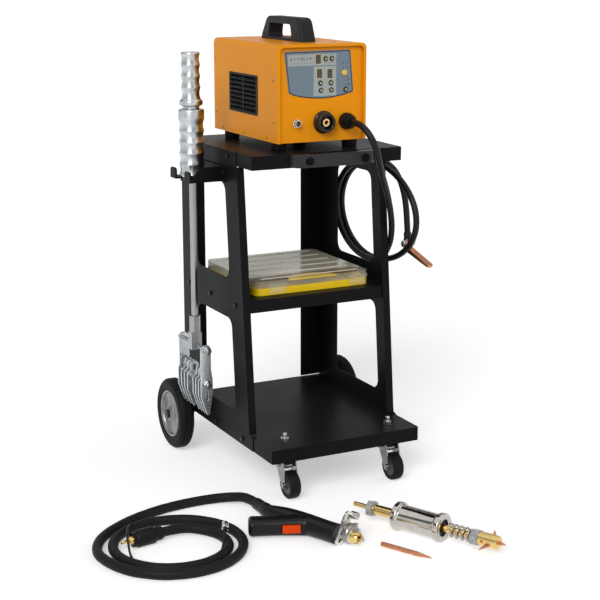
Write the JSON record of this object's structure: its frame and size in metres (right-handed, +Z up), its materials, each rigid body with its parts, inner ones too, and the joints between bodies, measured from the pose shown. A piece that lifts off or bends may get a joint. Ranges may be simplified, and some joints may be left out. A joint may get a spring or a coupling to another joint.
{
  "type": "dent pulling welder",
  "caption": "Orange spot-welding power source on a black wheeled trolley with its ground cable, claw puller, organiser box, gun with hose, slide hammer and electrode.",
  "frame": {"origin": "on the floor, in the middle of the set's bounding box in plan, measured without the loose cords", "axes": "+X to the trolley's right, +Y to its back, +Z up"},
  "size_m": [0.9823, 1.1294, 1.1515],
  "materials": {
    "black_paint": "satin powder coat",
    "case_orange": "semi-gloss powder coat",
    "label_film": "printed film",
    "black_plastic": "moulded",
    "dark_grey_plastic": "moulded",
    "key_blue": "moulded",
    "rubber_black": "moulded",
    "tyre_black": "ribbed",
    "caster_rubber": "soft tread",
    "zinc": "zinc plated",
    "bright_steel": "plated",
    "raw_aluminium": "turned",
    "brass": "turned",
    "copper": "copper, turned",
    "organiser_yellow": "moulded",
    "lid_clear": "translucent moulding",
    "trigger_orange": "moulded",
    "core_steel": "laminated core"
  },
  "bodies": {
    "trolley": {"deck": "black_paint", "side_frame_left": "black_paint", "side_frame_right": "black_paint", "shelf": "black_paint", "top_tray": "black_paint", "tray_handle": "dark_grey_plastic", "frame_bolts": "zinc", "axle": "zinc", "caster_stems": "zinc", "puller_fork": "black_paint", "cable_hook": "black_paint", "case_cover": "case_orange", "chassis": "case_orange", "control_label": "label_film", "vent_grilles": "black_plastic", "carry_handle": "black_plastic", "feet": "rubber_black", "central_socket": "black_plastic", "socket_contact": "brass", "aviation_socket": "bright_steel", "cable_glands": "black_plastic", "transformer": "core_steel", "ground_cable": "rubber_black", "ground_lug": "copper"},
    "rear_wheel_left": {"rear_tyre_left": "tyre_black", "rear_rim_left": "zinc"},
    "rear_wheel_right": {"rear_tyre_right": "tyre_black", "rear_rim_right": "zinc"},
    "caster_left": {"caster_fork_left": "zinc"},
    "caster_right": {"caster_fork_right": "zinc"},
    "caster_roller_left": {"caster_wheel_left": "caster_rubber"},
    "caster_roller_right": {"caster_wheel_right": "caster_rubber"},
    "fan": {"fan_rotor": "black_plastic"},
    "mains_rocker": {"power_switch": "black_plastic"},
    "organiser": {"organiser_base": "organiser_yellow"},
    "organiser_cover": {"organiser_lid": "lid_clear"},
    "latch_left": {"organiser_latch_left": "organiser_yellow"},
    "latch_right": {"organiser_latch_right": "organiser_yellow"},
    "puller_slider": {"puller_weight": "raw_aluminium"},
    "puller_bar": {"puller_handle": "raw_aluminium", "puller_rod": "zinc", "claw_fingers": "zinc"},
    "gun": {"gun_shell": "black_plastic", "gun_nose": "zinc", "gun_collet": "brass", "gun_hose": "rubber_black", "hose_plug": "rubber_black"},
    "trigger": {"gun_trigger": "trigger_orange"},
    "slide_hammer": {"hammer_shaft": "brass", "hammer_spring": "bright_steel", "hammer_head": "brass"},
    "hammer_slider": {"hammer_weight": "bright_steel"},
    "electrode": {"copper_electrode": "copper"},
    "body_program_key_down": {"program_key_down": "key_blue"},
    "body_program_key_up": {"program_key_up": "key_blue"},
    "body_current_key_up": {"current_key_up": "key_blue"},
    "body_current_key_down": {"current_key_down": "key_blue"},
    "body_time_key_up": {"time_key_up": "key_blue"},
    "body_time_key_down": {"time_key_down": "key_blue"},
    "body_mode_key": {"mode_key": "key_blue"}
  },
  "joints": [
    {"name": "rear_wheel_left_spin", "type": "hinge", "parent": "trolley", "child": "rear_wheel_left", "pos_m": [-0.216, 0.47, 0.095], "axis": [1, 0, 0], "continuous": true},
    {"name": "caster_left_swivel", "type": "hinge", "parent": "trolley", "child": "caster_left", "pos_m": [-0.111, 0.015, 0.105], "axis": [0, 0, 1], "continuous": true},
    {"name": "caster_left_roll", "type": "hinge", "parent": "caster_left", "child": "caster_roller_left", "pos_m": [-0.111, -0.016, 0.035], "axis": [1, 0, 0], "continuous": true},
    {"name": "rear_wheel_right_spin", "type": "hinge", "parent": "trolley", "child": "rear_wheel_right", "pos_m": [0.286, 0.47, 0.095], "axis": [1, 0, 0], "continuous": true},
    {"name": "caster_right_swivel", "type": "hinge", "parent": "trolley", "child": "caster_right", "pos_m": [0.181, 0.015, 0.105], "axis": [0, 0, 1], "continuous": true},
    {"name": "caster_right_roll", "type": "hinge", "parent": "caster_right", "child": "caster_roller_right", "pos_m": [0.181, -0.016, 0.035], "axis": [1, 0, 0], "continuous": true},
    {"name": "fan_spin", "type": "hinge", "parent": "trolley", "child": "fan", "pos_m": [0.035, 0.448, 0.985], "axis": [0, 1, 0], "continuous": true},
    {"name": "mains_rocker_tilt", "type": "hinge", "parent": "trolley", "child": "mains_rocker", "pos_m": [-0.043, 0.461, 0.915], "axis": [1, 0, 0], "range_deg": [-18, 0]},
    {"name": "program_key_down_press", "type": "slide", "parent": "trolley", "child": "body_program_key_down", "axis": [0, 1, 0], "range_m": [0, 0.0012], "stiffness_N_per_m": 400},
    {"name": "program_key_up_press", "type": "slide", "parent": "trolley", "child": "body_program_key_up", "axis": [0, 1, 0], "range_m": [0, 0.0012], "stiffness_N_per_m": 400},
    {"name": "current_key_up_press", "type": "slide", "parent": "trolley", "child": "body_current_key_up", "axis": [0, 1, 0], "range_m": [0, 0.0012], "stiffness_N_per_m": 400},
    {"name": "current_key_down_press", "type": "slide", "parent": "trolley", "child": "body_current_key_down", "axis": [0, 1, 0], "range_m": [0, 0.0012], "stiffness_N_per_m": 400},
    {"name": "time_key_up_press", "type": "slide", "parent": "trolley", "child": "body_time_key_up", "axis": [0, 1, 0], "range_m": [0, 0.0012], "stiffness_N_per_m": 400},
    {"name": "time_key_down_press", "type": "slide", "parent": "trolley", "child": "body_time_key_down", "axis": [0, 1, 0], "range_m": [0, 0.0012], "stiffness_N_per_m": 400},
    {"name": "mode_key_press", "type": "slide", "parent": "trolley", "child": "body_mode_key", "axis": [0, 1, 0], "range_m": [0, 0.0012], "stiffness_N_per_m": 400},
    {"name": "organiser_pull_out", "type": "slide", "parent": "trolley", "child": "organiser", "axis": [0, -1, 0], "range_m": [0, 0.25]},
    {"name": "organiser_lid_hinge", "type": "hinge", "parent": "organiser", "child": "organiser_cover", "pos_m": [0.0425, 0.4767, 0.489], "axis": [-1, 0, 0], "range_deg": [0, 50]},
    {"name": "latch_left_flip", "type": "hinge", "parent": "organiser_cover", "child": "latch_left", "pos_m": [-0.061, 0.154, 0.4993], "axis": [-1, 0, 0], "range_deg": [0, 95]},
    {"name": "latch_right_flip", "type": "hinge", "parent": "organiser_cover", "child": "latch_right", "pos_m": [0.168, 0.154, 0.4993], "axis": [-1, 0, 0], "range_deg": [0, 95]},
    {"name": "puller_lift", "type": "slide", "parent": "trolley", "child": "puller_slider", "axis": [0, 0, 1], "range_m": [0, 0.04]},
    {"name": "puller_rod_slide", "type": "slide", "parent": "puller_slider", "child": "puller_bar", "axis": [0, 0, 1], "range_m": [0, 0.3]},
    {"name": "gun_pick_up", "type": "slide", "parent": "trolley", "child": "gun", "axis": [0, 0, 1], "range_m": [0, 0.3]},
    {"name": "trigger_pull", "type": "slide", "parent": "gun", "child": "trigger", "axis": [0.3784, 0.9257, 0], "range_m": [0, 0.004], "stiffness_N_per_m": 900},
    {"name": "slide_hammer_pick_up", "type": "slide", "parent": "trolley", "child": "slide_hammer", "axis": [0, 0, 1], "range_m": [0, 0.3]},
    {"name": "hammer_weight_slide", "type": "slide", "parent": "slide_hammer", "child": "hammer_slider", "axis": [0.4352, -0.9003, 0], "range_m": [-0.058, 0.012]},
    {"name": "electrode_pick_up", "type": "slide", "parent": "trolley", "child": "electrode", "axis": [0, 0, 1], "range_m": [0, 0.3]}
  ]
}
